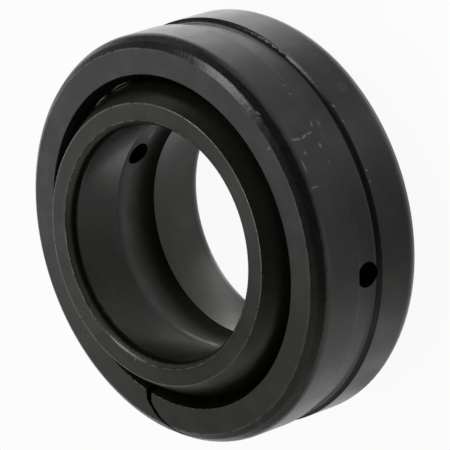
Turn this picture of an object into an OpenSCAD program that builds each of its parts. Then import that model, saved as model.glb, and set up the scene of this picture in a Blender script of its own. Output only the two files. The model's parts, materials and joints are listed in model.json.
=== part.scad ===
// Radial spherical plain bearing, steel on steel, with grease grooves and holes in both rings.
// The inner ring stands on one end face with its bore along +Z. The outer ring leans over the ball.
// The origin is at the middle of that end face. All lengths are in millimetres, angles in degrees.

/* [Inner ring] */
// Diameter of the bore for the shaft
bore_d = 20; // [17:0.1:25]
// Wall between the bore and the ball at the ball's widest place, which sets the ball's diameter
inner_wall = 4.4; // [4:0.1:6]
// Width of the inner ring, end face to end face
inner_w = 16; // [14:0.1:18]
// Radial size of the chamfer at each end of the bore
bore_chamfer_r = 0.5; // [0.3:0.05:0.8]
// Axial size of the chamfer at each end of the bore
bore_chamfer_h = 0.47; // [0.4:0.01:1]
// Radius that blends that chamfer into the bore
bore_edge_r = 1.4; // [0.4:0.05:1.7]
// Radius on the edge between the ball and each end face
face_edge_r = 0.1; // [0.05:0.01:0.5]

/* [Outer ring] */
// Wall between the ball socket and the seat at the socket's widest place, which sets the seat's diameter
outer_wall = 3.07; // [2.4:0.01:4.5]
// Width of the outer ring
outer_w = 12; // [10:0.1:13]
// Radial size of the steep chamfer next to each face
seat_chamfer_r = 0.5; // [0.3:0.05:1]
// Axial size of that chamfer
seat_chamfer_h = 0.36; // [0.3:0.02:0.8]
// Radius that blends that chamfer into the lead cone
chamfer_blend_r = 0.4; // [0.2:0.05:0.7]
// Radial size of the shallow lead cone between the chamfer and the seat
seat_lead_r = 0.5; // [0.2:0.05:0.6]
// Axial length of that lead cone
seat_lead_h = 0.84; // [0.6:0.02:1.2]
// Radius that blends the lead cone into the seat
lead_blend_r = 1.2; // [0.3:0.05:1.5]
// Depth of the steep cone that opens the ball socket at each face
mouth_h = 1.5; // [0.8:0.05:2]
// Radial flare of that cone
mouth_flare = 0.58; // [0.2:0.01:0.8]

/* [Grease ways] */
// Width of the groove in the seat
seat_groove_w = 2.7; // [2.4:0.1:3.4]
// Depth of the groove in the seat
seat_groove_depth = 0.4; // [0.3:0.02:0.7]
// Steepness of that groove's walls
seat_groove_wall = 60; // [50:1:75]
// Radius in that groove's bottom corners
seat_groove_corner_r = 0.6; // [0.2:0.05:0.7]
// Diameter of the two holes through the outer ring
seat_hole_d = 2.2; // [1.5:0.1:2.6]
// Direction of the first hole through the outer ring
seat_hole_at = 136.3; // [100:0.1:175]
// Width of the round-bottomed groove in the bore
bore_groove_w = 4.5; // [3:0.1:5]
// Depth of the groove in the bore
bore_groove_depth = 0.7; // [0.3:0.05:1]
// Diameter of the two holes through the inner ring
bore_hole_d = 2.1; // [1.5:0.1:2.8]
// Direction of the first hole through the inner ring
bore_hole_at = -66.2; // [-180:0.1:180]

/* [Fracture] */
// Direction in which the fracture leaves the socket
fracture_at = 35.1; // [10:0.1:60]
// Turn of the fracture between the socket's mouth and the seat
fracture_sweep = 22.5; // [0:0.1:30]
// How late that turn comes: 1 turns evenly, and more turns mostly near the seat
fracture_bend = 2.3; // [1:0.1:3]
// Gap left at the fracture, measured around the ring
fracture_gap = 0.6; // [0.2:0.01:0.8]
// How much the gap widens at the chipped end of the fracture, as a share
fracture_chip = 0.2; // [0:0.1:1]
// Size of the fracture's ragged steps
fracture_ragged = 0.045; // [0:0.005:0.08]

/* [Fit and pose] */
// Radial clearance between the ball and its socket
ball_clearance = 0.03; // [0.02:0.005:0.08]
// Lean of the outer ring towards +X, as the bearing lies
lean = 3.9; // [-7:0.1:7]
// Radius on the crisp edges of the faces
edge_r = 0.08; // [0.05:0.01:0.12]

/* [Hidden] */
$fn = 128;
steel = [0.23, 0.23, 0.24];
fracture_steps = 16;
fracture_overrun = 0.2;

bore_r = bore_d / 2;
ball_r = bore_r + inner_wall;
inner_h = inner_w / 2;
ball_edge_r = sqrt(pow(ball_r, 2) - pow(inner_h, 2));

socket_r = ball_r + ball_clearance;
seat_r = socket_r + outer_wall;
outer_h = outer_w / 2;
lip_h = outer_h - mouth_h;
lip_r = sqrt(pow(socket_r, 2) - pow(lip_h, 2));

// Each rounding's arc stands proud of its tangents by this much, so that it crosses them cleanly,
// and the corner that it takes off reaches this far outside the outline.
arc_over = 0.0005;
waste_over = 0.05;

// Upper half of the outer ring's outline, from inside the socket round to the middle of the seat.
// Each point is [radius, height, rounding].
outer_half = [
    [lip_r - mouth_flare, lip_h - mouth_h, 0],
    [lip_r + mouth_flare, outer_h, edge_r],
    [seat_r - seat_lead_r - seat_chamfer_r, outer_h, edge_r],
    [seat_r - seat_lead_r, outer_h - seat_chamfer_h, chamfer_blend_r],
    [seat_r, outer_h - seat_chamfer_h - seat_lead_h, lead_blend_r],
    [seat_r, 0, 0],
];

// Upper half of the inner ring's outline, from the bore round to outside the ball that trims it.
// Its last line leaves the end face along the ball's tangent.
inner_half = [
    [bore_r, 0, 0],
    [bore_r, inner_h - bore_chamfer_h, bore_edge_r],
    [bore_r + bore_chamfer_r, inner_h, edge_r],
    [ball_edge_r, inner_h, face_edge_r],
    [ball_edge_r + inner_h / 2, inner_h - ball_edge_r / 2, 0],
];

// Upper half of the seat groove's outline, open outside the seat.
groove_h = seat_groove_w / 2;
groove_over = 1;
wall_lean = 1 / tan(seat_groove_wall);
seat_groove_half = [
    [seat_r + groove_over, groove_h + groove_over * wall_lean, 0],
    [seat_r - seat_groove_depth, groove_h - seat_groove_depth * wall_lean, seat_groove_corner_r],
];

// Radius of the bore groove's round bottom.
bore_groove_r = (pow(bore_groove_w / 2, 2) + pow(bore_groove_depth, 2)) / (2 * bore_groove_depth);

function unit(v) = v / norm(v);
function flat(p) = [p.x, p.y];

// A half outline with its lower half added, without repeating a point on the middle plane.
function whole(half) = concat(
    half,
    [for (i = [len(half) - 1 : -1 : 0]) if (half[i].y > 0) [half[i].x, -half[i].y, half[i].z]]
);

// Where the fracture runs: t is 0 at the socket's mouth and 1 at the seat.
function ragged(t) = fracture_ragged * (sin(1130 * t) + 0.7 * sin(2710 * t + 50));
function fracture_width(t) = fracture_gap * (1 + fracture_chip * max(1 - abs(t) / 0.14, 0));
function fracture_r(t) = lip_r + mouth_flare + t * (seat_r - lip_r - mouth_flare);
function fracture_angle(t) = fracture_at + fracture_sweep * pow(max(t, 0), fracture_bend);
function fracture_point(t, side) =
    let (
        r = fracture_r(t),
        a = fracture_angle(t) + (ragged(t) + side * fracture_width(t) / 2) / r * 180 / PI
    )
    r * [cos(a), sin(a)];

// What a rounding takes off corner p, between the directions to its neighbours.
module corner_waste(p, to_a, to_b, r) {
    half = acos(to_a * to_b) / 2;
    inwards = unit(to_a + to_b);
    difference() {
        polygon([p + to_a * r / tan(half), p - inwards * waste_over, p + to_b * r / tan(half)]);
        translate(p + inwards * r / sin(half)) circle(r = r + arc_over);
    }
}

// A closed outline with its corners rounded.
module eased(outline) {
    n = len(outline);
    difference() {
        polygon([for (p = outline) flat(p)]);
        for (i = [0 : n - 1]) {
            p = flat(outline[i]);
            to_a = unit(flat(outline[(i + n - 1) % n]) - p);
            to_b = unit(flat(outline[(i + 1) % n]) - p);
            if (outline[i].z > 0) corner_waste(p, to_a, to_b, outline[i].z);
        }
    }
}

// Two holes on one line across a ring.
module cross_holes(d, length, at) {
    rotate([0, 0, at]) rotate([0, 90, 0]) cylinder(d = d, h = length, center = true);
}

module seat_groove() {
    rotate_extrude() eased(whole(seat_groove_half));
}

module bore_groove() {
    rotate_extrude() translate([bore_r + bore_groove_depth - bore_groove_r, 0]) circle(r = bore_groove_r);
}

module fracture() {
    step = (1 + 2 * fracture_overrun) / fracture_steps;
    out = [for (i = [0 : fracture_steps]) i * step - fracture_overrun];
    back = [for (i = [fracture_steps : -1 : 0]) out[i]];
    path = concat([for (t = out) fracture_point(t, -1)], [for (t = back) fracture_point(t, 1)]);
    linear_extrude(height = 2 * outer_w, center = true) polygon(path);
}

module outer_ring() {
    color(steel)
    translate([0, 0, inner_h])
    rotate([0, lean, 0])
    difference() {
        rotate_extrude() eased(whole(outer_half));
        sphere(r = socket_r);
        seat_groove();
        cross_holes(seat_hole_d, 4 * seat_r, seat_hole_at);
        fracture();
    }
}

module inner_ring() {
    color(steel)
    translate([0, 0, inner_h])
    difference() {
        intersection() {
            rotate_extrude() eased(whole(inner_half));
            sphere(r = ball_r);
        }
        bore_groove();
        cross_holes(bore_hole_d, 4 * ball_r, bore_hole_at);
    }
}

outer_ring();
inner_ring();
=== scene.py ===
import json
import math

import bpy
import bmesh
from mathutils import Matrix, Vector

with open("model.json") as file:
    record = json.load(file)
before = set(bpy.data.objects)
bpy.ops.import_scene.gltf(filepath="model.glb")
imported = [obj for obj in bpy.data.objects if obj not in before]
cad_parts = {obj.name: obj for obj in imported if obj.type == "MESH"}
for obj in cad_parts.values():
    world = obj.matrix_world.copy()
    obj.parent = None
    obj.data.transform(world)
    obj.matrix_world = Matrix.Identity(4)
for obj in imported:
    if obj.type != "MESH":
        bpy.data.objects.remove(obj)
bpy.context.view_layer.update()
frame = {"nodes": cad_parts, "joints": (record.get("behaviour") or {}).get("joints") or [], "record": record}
millimetre = 0.001

# the two rings' own axes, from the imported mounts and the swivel
mounts = {mount["name"]: mount for mount in frame["record"]["mounts"]}
boreRadius = mounts["bore"]["dims"]["r_mm"]
seatRadius = mounts["outer_seat"]["dims"]["r_mm"]
seatAxis = Vector(mounts["outer_seat"]["axis"])
ballCentre = Vector(frame["joints"][0]["pos_m"])
leanAngle = math.atan2(seatAxis.x, seatAxis.z)
print("frame loaded, outer ring leans", round(math.degrees(leanAngle), 2))


class Value:
    # one socket in a node tree, with arithmetic that adds Math nodes

    def __init__(self, tree, socket=None):
        self.tree = tree
        self.socket = socket

    def node(self, kind, settings=None, sockets=None, out=0):
        made = self.tree.nodes.new(kind)
        for name, setting in (settings or {}).items():
            setattr(made, name, setting)
        for name, given in (sockets or {}).items():
            if isinstance(given, Value):
                self.tree.links.new(given.socket, made.inputs[name])
            else:
                made.inputs[name].default_value = given
        return Value(self.tree, made.outputs[out] if len(made.outputs) else None)

    def other(self, name):
        # another output of the node that this value comes from
        return Value(self.tree, self.socket.node.outputs[name])

    def maths(self, operation, *given):
        return self.node("ShaderNodeMath", {"operation": operation}, dict(enumerate(given)))

    def __add__(self, other):
        return self.maths("ADD", self, other)

    __radd__ = __add__

    def __sub__(self, other):
        return self.maths("SUBTRACT", self, other)

    def __rsub__(self, other):
        return self.maths("SUBTRACT", other, self)

    def __mul__(self, other):
        return self.maths("MULTIPLY", self, other)

    __rmul__ = __mul__

    def __truediv__(self, other):
        return self.maths("DIVIDE", self, other)

    def __pow__(self, other):
        return self.maths("POWER", self, other)

    def __abs__(self):
        return self.maths("ABSOLUTE", self)

    def largest(self, other):
        return self.maths("MAXIMUM", self, other)

    def ease(self, low, high, first=0.0, last=1.0):
        # smooth step from first to last as the value goes from low to high
        return self.node(
            "ShaderNodeMapRange",
            {"interpolation_type": "SMOOTHSTEP"},
            {"Value": self, "From Min": low, "From Max": high, "To Min": first, "To Max": last},
        )

    def blend(self, first, last):
        # colour mix driven by this value
        return self.node(
            "ShaderNodeMix",
            {"data_type": "RGBA"},
            {"Factor": self, "A": first, "B": last},
            "Result",
        )


def newMaterial(name):
    material = bpy.data.materials.new(name)
    material.use_nodes = True
    material.node_tree.nodes.clear()
    return material, Value(material.node_tree)


def grey(level, tint=(1.0, 1.0, 1.0)):
    return (level * tint[0], level * tint[1], level * tint[2], 1.0)


def joinPoint(start, x, y, z):
    return start.node("ShaderNodeCombineXYZ", None, {"X": x, "Y": y, "Z": z})


def between(start, first, second):
    # distance between two points
    return start.node("ShaderNodeVectorMath", {"operation": "DISTANCE"}, {0: first, 1: second}, "Value")


def noise(start, point, pattern):
    scale, detail, roughness = pattern
    sockets = {"Vector": point, "Scale": scale, "Detail": detail, "Roughness": roughness}
    return start.node("ShaderNodeTexNoise", None, sockets, "Fac")


def towards(azimuth, elevation):
    azimuth = math.radians(azimuth)
    elevation = math.radians(elevation)
    flat = math.cos(elevation)
    return Vector((flat * math.cos(azimuth), flat * math.sin(azimuth), math.sin(elevation)))


# camera

camera = {
    "aim": (-0.00018, 0.00013, 0.00778),
    "distance": 0.393,
    "azimuth": 161.55,
    "elevation": 44.4,
    "roll": 106.9,
    "focalPixels": 4696,
    "imagePixels": 450,
    "sensor": 36.0,
    "clip": (0.1, 20),          # shares of the distance
}


def addCamera():
    roll = math.radians(camera["roll"])
    back = towards(camera["azimuth"], camera["elevation"])
    levelRight = Vector((0, 0, 1)).cross(back).normalized()
    levelUp = back.cross(levelRight)
    up = levelUp * math.cos(roll) + levelRight * math.sin(roll)
    right = up.cross(back)
    data = bpy.data.cameras.new("camera")
    data.sensor_width = camera["sensor"]
    data.lens = camera["focalPixels"] / camera["imagePixels"] * camera["sensor"]
    data.clip_start = camera["distance"] * camera["clip"][0]
    data.clip_end = camera["distance"] * camera["clip"][1]
    holder = bpy.data.objects.new("camera", data)
    turn = Matrix((right, up, back)).transposed().to_4x4()
    holder.matrix_world = Matrix.Translation(Vector(camera["aim"]) + back * camera["distance"]) @ turn
    bpy.context.scene.collection.objects.link(holder)
    bpy.context.scene.camera = holder


addCamera()
print("camera placed")

# studio: white floor, a room that is pale behind the bearing and dark in front, soft boxes

studio = {
    "floorRadius": 2.0,
    "floorSegments": 64,
    "floorColour": 0.9,
    "floorShare": 0.94,         # part of the floor that shows as plain white
    "mirrorLevel": 0.8,         # how bright the rings see the floor
    "roomLevel": 0.06,
}

# the room's pale walls: the middle of each, and the cosines of the angles where it starts and is whole
paleWalls = {
    "behind": {"azimuth": 5, "elevation": 20, "reach": (0.0, 0.9), "gain": 0.28},
    "left": {"azimuth": 84, "elevation": 30, "reach": (0.85, 0.99), "gain": 0.28},
}

# soft pools of light and shade on the floor, which only the rings' gloss picks up: mm from the bore's axis
floorPools = {
    "brightSide": {"azimuth": -105, "out": 22, "core": 8, "radius": 18, "gain": 0.75},
    "darkFront": {"azimuth": 143, "out": 26, "core": 4, "radius": 18, "gain": -0.4},
    "dimCorner": {"azimuth": -160, "out": 25, "core": 3, "radius": 9, "gain": -0.2},
    "farRight": {"azimuth": -92, "out": 94, "core": 44, "radius": 62, "gain": -0.72},
    "farLeft": {"azimuth": 48, "out": 82, "core": 38, "radius": 56, "gain": -0.55},
    "boreShade": {"azimuth": 162, "out": 4, "core": 0, "radius": 12, "gain": -0.45},
    "boreSide": {"azimuth": -82, "out": 7, "core": 0, "radius": 7, "gain": -0.5},
    "boreLeft": {"azimuth": 45, "out": 7.5, "core": 0, "radius": 7, "gain": -0.32},
    "boreBack": {"azimuth": 6, "out": 9.1, "core": 0, "radius": 3.6, "gain": 1.2},
    "ballGlow": {"azimuth": 28, "out": 46, "core": 6, "radius": 20, "gain": 0.3},
    "rearFoot": {"azimuth": 84, "out": 19.5, "core": 0, "radius": 4, "gain": -0.3},
}

# each box: where it stands from the ball, its width and height, and the brightness of its face
softBoxes = {
    "keyBox": {"azimuth": -110, "elevation": 43, "distance": 0.35, "size": (0.13, 0.2), "level": 6.8},
    "faceBox": {"azimuth": -26, "elevation": 35, "distance": 0.15, "size": (0.07, 0.07), "level": 0.79},
    "topBox": {"azimuth": -17, "elevation": 78, "distance": 0.4, "size": (0.18, 0.18), "level": 3.5},
}


def mirroredFloor(start):
    # how bright the floor is in the rings' gloss
    place = start.node("ShaderNodeTexCoord", out="Object")
    level = studio["mirrorLevel"]
    for pool in floorPools.values():
        centre = towards(pool["azimuth"], 0) * pool["out"] * millimetre
        apart = between(start, place, centre)
        level = apart.ease(pool["core"] * millimetre, pool["radius"] * millimetre, pool["gain"], 0) + level
    return level


def makeWhiteFloor():
    material, start = newMaterial("whiteFloor")
    fromCamera = start.node("ShaderNodeLightPath", out="Is Camera Ray")
    fromGloss = fromCamera.other("Is Glossy Ray")
    through = fromCamera.other("Is Transmission Ray")
    seen = fromCamera.largest(fromGloss).largest(through)
    level = fromGloss * mirroredFloor(start) + (1 - fromGloss)
    matte = start.node("ShaderNodeBsdfDiffuse", None, {"Color": grey(studio["floorColour"])})
    white = start.node("ShaderNodeEmission", None, {"Color": grey(1.0), "Strength": level})
    mixed = start.node("ShaderNodeMixShader", None, {0: seen * studio["floorShare"], 1: matte, 2: white})
    start.node("ShaderNodeOutputMaterial", None, {"Surface": mixed})
    return material


def addFloor():
    mesh = bpy.data.meshes.new("floor")
    build = bmesh.new()
    bmesh.ops.create_circle(
        build, cap_ends=True, segments=studio["floorSegments"], radius=studio["floorRadius"]
    )
    build.to_mesh(mesh)
    build.free()
    mesh.materials.append(makeWhiteFloor())
    floor = bpy.data.objects.new("floor", mesh)
    bpy.context.scene.collection.objects.link(floor)


def addSoftBox(name, box):
    away = towards(box["azimuth"], box["elevation"])
    width, height = box["size"]
    data = bpy.data.lights.new(name, "AREA")
    data.shape = "ELLIPSE"
    data.size = width
    data.size_y = height
    area = math.pi * width * height / 4
    data.energy = box["level"] * math.pi * area
    lamp = bpy.data.objects.new(name, data)
    turn = away.to_track_quat("Z", "Y").to_matrix().to_4x4()
    lamp.matrix_world = Matrix.Translation(ballCentre + away * box["distance"]) @ turn
    lamp.visible_camera = False
    bpy.context.scene.collection.objects.link(lamp)


def setRoom():
    world = bpy.data.worlds.new("room")
    world.use_nodes = True
    world.node_tree.nodes.clear()
    start = Value(world.node_tree)
    heading = start.node("ShaderNodeTexCoord", out="Generated")
    level = studio["roomLevel"]
    for wall in paleWalls.values():
        sockets = {0: heading, 1: towards(wall["azimuth"], wall["elevation"])}
        facing = start.node("ShaderNodeVectorMath", {"operation": "DOT_PRODUCT"}, sockets, "Value")
        level = facing.ease(*wall["reach"], 0, wall["gain"]) + level
    light = start.node("ShaderNodeBackground", None, {"Color": grey(1.0), "Strength": level})
    start.node("ShaderNodeOutputWorld", None, {"Surface": light})
    bpy.context.scene.world = world


addFloor()
for boxName, softBox in softBoxes.items():
    addSoftBox(boxName, softBox)
setRoom()
bpy.context.scene.view_settings.view_transform = "Standard"
print("studio set")

# black oxide on ground steel, oiled, with some highlights, glints and sheen painted in bare steel and oil

blackSteel = {
    "oxide": 0.006,
    "plain": (1.0, 1.0, 0.96),
    "warm": (1.03, 1.02, 0.4),
    "cool": (1.05, 1.0, 1.85),
    "bare": (0.36, 0.355, 0.345),   # where the oxide is rubbed through, and where highlights and glints are painted
    "ior": 1.5,
    # noises: scale for each mm, detail, roughness
    "blotches": (0.35, 3.0, 0.6),
    "mottle": (1.3, 4.0, 0.6),
    "fine": (6.0, 2.0, 0.5),
    "grain": (8.0, 3.0, 0.6),
    "grainDrift": (0.04, 0.03),     # how slowly the turning marks change round a ring
    # oxide: where the mottling starts and is whole, and its darkest and palest shares
    "mottling": (0.3, 0.7),
    "mottledShares": (0.8, 1.25),
    # worn lines, marks and flecks, some of them painted highlights
    "breaks": (0.6, 0.4),           # shares of mottle and fine that break the worn and highlight lines
    "breakSoftness": 0.09,
    "lineCore": 0.3,                # share of a line's or mark's width that is whole
    "markReach": 0.3,               # how far from its own radius a mark reaches, mm
    "ragged": 0.12,                 # unevenness of the marks' outlines, mm
    "flecks": (0.74, 0.8, 0.0, 0.2),
    # roughness and oil film
    "roughness": 0.2,
    "mottleRoughness": 0.1,
    "grainRoughness": 0.06,
    "film": (0.4, 0.7, 0.0, 0.18),
    "filmRoughness": 0.24,
    # heights of the relief, mm
    "waveDepth": 0.004,             # soft unevenness
    "grainDepth": 0.0005,           # turning and grinding marks
    "edgeDepth": 0.04,              # unevenness of the tumbled edges
    "markDepth": 0.006,
    "glintBurrDepth": 0.2,
    "grooveEase": 0.1,
}

# sizes in mm from the middle of the ball, angles from the -X side
outerRing = {
    "node": "outer_ring",
    "lean": leanAngle,
    "gloss": (1.0, 1.0, 0.99),
    # sides where the oxide's colour shifts; the cool one is on the seat only
    "tints": [
        {"shade": "warm", "angle": -117, "reach": (-0.2, 0.6)},
        {"shade": "cool", "angle": -9, "reach": (0.86, 1.0), "radius": (16.9, 17.0), "height": (4.9, 4.5)},
    ],
    # circles of bare steel where edges wear bright; on the inner ring one is a painted highlight: radius,
    # height, width, how broken the line is, strength
    "wornEdgesAndHighlights": [
        (16.5, 6.0, 0.10, 0.42, 0.32),
        (17.47, 4.62, 0.11, 0.54, 0.06),
        (14.29, 6.0, 0.07, 0.46, 0.12),
    ],
    "brighterEdgeSide": {"angle": 158, "reach": (-0.7, 0.3), "least": 0.3},
    "tumbled": {"radius": 17.1, "height": 5.55, "reach": (1.0, 0.3)},
    "roughGrooves": [],
    # marks, and burrs that are painted glints: angle, height, radius, length, width, slant, strength
    "marksAndGlints": [
        (-2.0, 4.08, 17.5, 1.61, 0.30, 82, 0.46),
        (-1.9, 3.15, 17.5, 0.86, 0.32, -70, 0.51),
        (-1.45, 2.5, 17.5, 0.92, 0.28, -85, 0.46),
        (0.85, 1.75, 17.5, 0.86, 0.20, -15, 0.49),
        (0.9, 0.63, 17.1, 0.95, 0.22, 0, 0.43),
        (-5.5, 2.02, 17.5, 0.69, 0.45, 5, 0.41),
        (-6.3, 3.88, 17.5, 0.52, 0.38, 5, 0.41),
        (-9.5, 4.57, 17.5, 1.7, 0.20, 0, 0.46),
        (-15.65, 4.34, 17.5, 1.15, 0.20, 88, 0.49),
        (-10.5, 1.92, 17.5, 0.29, 0.20, 0, 0.46),
        (14.2, 1.71, 17.5, 0.40, 0.18, 30, 0.49),
        (11.0, 1.80, 17.5, 0.52, 0.18, 30, 0.49),
        (-17.7, -4.85, 17.5, 0.40, 0.22, 0, 0.43),
        (8.3, -3.5, 17.5, 1.7, 1.5, 20, 0.08),
        (46.0, 1.7, 17.5, 1.03, 0.22, 40, 0.41),
        (3.75, -1.45, 17.45, 0.40, 0.25, 20, 0.61),
        (-15.7, -1.6, 17.5, 0.34, 0.22, 80, 0.54),
        (-18.8, -1.55, 17.5, 0.34, 0.20, 70, 0.49),
        (-1.15, -1.47, 17.5, 0.40, 0.20, 60, 0.49),
        (9.2, 5.6, 17.1, 0.69, 0.25, 10, 0.61),
        (-0.8, 6.0, 16.2, 0.40, 0.4, 0, 0.27),
    ],
    # painted highlight: raised bare-steel streaks on the lip of the mouth that stand in for the glint of the
    # key light on the lip's edge
    "glintBurrs": [
        (90.4, 4.54, 13.71, 2.7, 0.52, 0, 1.0),
        (77.8, 4.54, 13.71, 3.3, 0.52, 0, 1.0),
    ],
    "oilSheenPatches": [],
}

innerRing = {
    "node": "inner_ring",
    "lean": 0.0,
    "gloss": (1.0, 1.0, 0.965),
    "tints": [
        {"shade": "warm", "angle": 0, "reach": (-1.2, -1.0)},   # all round
    ],
    "wornEdgesAndHighlights": [
        (11.95, 8.0, 0.085, 0.38, 0.5),
        (10.5, 8.0, 0.09, 0.46, 0.34),
        # painted highlight: a broad bare band on the bore chamfer that stands in for light falling on it
        (10.27, 7.8, 0.30, 0.30, 0.16),
    ],
    # the worn lines and the painted bore-chamfer highlight are strongest towards this side
    "brighterEdgeSide": {"angle": 143, "reach": (-0.7, 0.2), "least": 0.55},
    "tumbled": {"radius": 10.2, "height": 7.55, "reach": (0.8, 0.3)},
    "roughGrooves": [{"radius": boreRadius, "half": 2.25, "rougher": 0.16}],
    # painted highlights: the first five are bare-steel streaks in and along the bore groove that stand in
    # for the glint of light there; the last is a nick on the bore edge
    "marksAndGlints": [
        (-142, 0.15, 10.65, 2.2, 0.40, 0, 0.6),
        (-131, 0.1, 10.65, 0.9, 0.30, 0, 0.5),
        (-137.5, 0.0, 10.68, 2.4, 0.9, 0, 0.7),
        (-145, 0.3, 10.63, 6.0, 0.8, -7.6, 0.6),
        (103, -0.65, 10.63, 2.2, 0.7, 0, 0.5),
        (-144.7, 8.0, 10.6, 0.35, 0.4, 0, 0.3),
    ],
    "glintBurrs": [],
    # painted sheen: a thicker oil film on one side of the inner face, which brightens that side
    "oilSheenPatches": [{"at": (-10.7, 3.3, 8.0), "radius": 11, "gain": 0.45}],
}


def ringPoint(start, lean):
    # object coordinates in a ring's own frame, in mm: centre of the ball, axis along z
    sockets = {
        "Vector": start.node("ShaderNodeTexCoord", out="Object"),
        "Location": ballCentre,
        "Rotation": (0, lean, 0),
        "Scale": (millimetre, millimetre, millimetre),
    }
    return start.node("ShaderNodeMapping", {"vector_type": "TEXTURE"}, sockets)


def edgeWearAndHighlightMask(start, wornEdgesAndHighlights, section, broken):
    wornAndHighlit = 0.0
    for radius, height, width, cover, strength in wornEdgesAndHighlights:
        core = width * blackSteel["lineCore"]
        line = between(start, section, (radius, height, 0)).ease(width, core, 0, strength)
        line = line * broken.ease(cover, cover + blackSteel["breakSoftness"])
        wornAndHighlit = line.largest(wornAndHighlit)
    return wornAndHighlit


def ellipseMask(start, marksAndGlints, unrolled):
    # each mark, burr and painted glint is an ellipse on the unrolled ring, near its own radius
    marked = 0.0
    for turn, level, out, length, width, slant, strength in marksAndGlints:
        shape = {
            "Vector": unrolled,
            "Location": (math.radians(turn) * seatRadius, level, out),
            "Rotation": (0, 0, math.radians(slant)),
            "Scale": (length / 2 * seatRadius / out, width / 2, blackSteel["markReach"]),
        }
        inside = start.node("ShaderNodeMapping", {"vector_type": "TEXTURE"}, shape)
        mark = between(start, inside, (0, 0, 0)).ease(1.0, blackSteel["lineCore"], 0, strength)
        marked = mark.largest(marked)
    return marked


def makeBlackSteel(ring):
    material, start = newMaterial(ring["node"] + "Steel")
    point = ringPoint(start, ring["lean"])
    across = start.node("ShaderNodeSeparateXYZ", None, {0: point}, "X")
    along = across.other("Y")
    height = across.other("Z")
    radius = (across * across + along * along) ** 0.5
    angle = start.maths("ARCTAN2", along * -1, across * -1)
    section = joinPoint(start, radius, abs(height), 0.0)

    blotches = noise(start, point, blackSteel["blotches"])
    mottle = noise(start, point, blackSteel["mottle"])
    fine = noise(start, point, blackSteel["fine"])
    acrossDrift, alongDrift = blackSteel["grainDrift"]
    turned = joinPoint(start, radius, height, across * acrossDrift + along * alongDrift)
    grain = noise(start, turned, blackSteel["grain"])

    def sided(side):
        # rises from 0 to 1 towards one side of the ring
        turn = math.radians(side["angle"] + 180)
        return ((across * math.cos(turn) + along * math.sin(turn)) / radius).ease(*side["reach"])

    # bare steel: rubbed edges, marks and flecks, the burrs that stand proud, and the painted highlights and
    # glints among them
    mottleBreaks, fineBreaks = blackSteel["breaks"]
    lines = edgeWearAndHighlightMask(start, ring["wornEdgesAndHighlights"], section, mottle * mottleBreaks + fine * fineBreaks)
    least = ring["brighterEdgeSide"]["least"]
    lines = lines * (sided(ring["brighterEdgeSide"]) * (1 - least) + least)
    ragged = (fine - 0.5) * blackSteel["ragged"]
    unrolled = joinPoint(start, angle * seatRadius + ragged, height + ragged, radius)
    marksAndGlints = ellipseMask(start, ring["marksAndGlints"], unrolled)
    glintBurrs = ellipseMask(start, ring["glintBurrs"], unrolled)
    scratchedAndHighlit = lines.largest(marksAndGlints).largest(fine.ease(*blackSteel["flecks"]))
    wornAndHighlit = scratchedAndHighlit.largest(glintBurrs)

    # colour: mottled oxide, warmer and cooler on some sides, bare steel where it is rubbed and where
    # highlights and glints are painted
    mottling = mottle.ease(*blackSteel["mottling"])
    darkShare, paleShare = blackSteel["mottledShares"]

    def shaded(shade):
        dark = grey(blackSteel["oxide"] * darkShare, blackSteel[shade])
        pale = grey(blackSteel["oxide"] * paleShare, blackSteel[shade])
        return mottling.blend(dark, pale)

    oxide = shaded("plain")
    for tint in ring["tints"]:
        tinted = sided(tint)
        if "radius" in tint:
            tinted = tinted * radius.ease(*tint["radius"]) * abs(height).ease(*tint["height"])
        oxide = tinted.blend(oxide, shaded(tint["shade"]))
    colour = wornAndHighlit.blend(oxide, grey(1.0, blackSteel["bare"]))

    # oil film: patchy all over, thicker in a few places, where it is a painted sheen
    film = blotches.ease(*blackSteel["film"])
    for patch in ring["oilSheenPatches"]:
        film = between(start, point, patch["at"]).ease(0, patch["radius"], patch["gain"], 0) + film

    # relief: waves and grain, uneven tumbled edges, sunk marks and raised burrs
    tumbled = ring["tumbled"]
    edge = between(start, section, (tumbled["radius"], tumbled["height"], 0)).ease(*tumbled["reach"])
    relief = blotches * blackSteel["waveDepth"] + grain * blackSteel["grainDepth"]
    relief = relief + edge * mottle * blackSteel["edgeDepth"] - scratchedAndHighlit * blackSteel["markDepth"]
    relief = relief + glintBurrs * blackSteel["glintBurrDepth"]
    raised = {"Strength": 1.0, "Distance": millimetre, "Height": relief}
    bump = start.node("ShaderNodeBump", None, raised, "Normal")

    roughness = mottle * blackSteel["mottleRoughness"] + grain * blackSteel["grainRoughness"]
    roughness = roughness + blackSteel["roughness"]
    soft = blackSteel["grooveEase"]
    for groove in ring["roughGrooves"]:
        sunk = (radius - groove["radius"]).ease(0, soft)
        sunk = sunk * abs(height).ease(groove["half"] + soft, groove["half"] - soft)
        roughness = roughness + sunk * groove["rougher"]

    sockets = {
        "Base Color": colour,
        "Metallic": wornAndHighlit,
        "Roughness": roughness,
        "IOR": blackSteel["ior"],
        "Specular Tint": grey(1.0, ring["gloss"]),
        "Coat Weight": film,
        "Coat Roughness": blackSteel["filmRoughness"],
        "Normal": bump,
    }
    shader = start.node("ShaderNodeBsdfPrincipled", None, sockets)
    start.node("ShaderNodeOutputMaterial", None, {"Surface": shader})
    return material


def dress(ring):
    mesh = frame["nodes"][ring["node"]].data
    mesh.materials.clear()
    mesh.materials.append(makeBlackSteel(ring))


dress(outerRing)
dress(innerRing)
print("rings dressed")
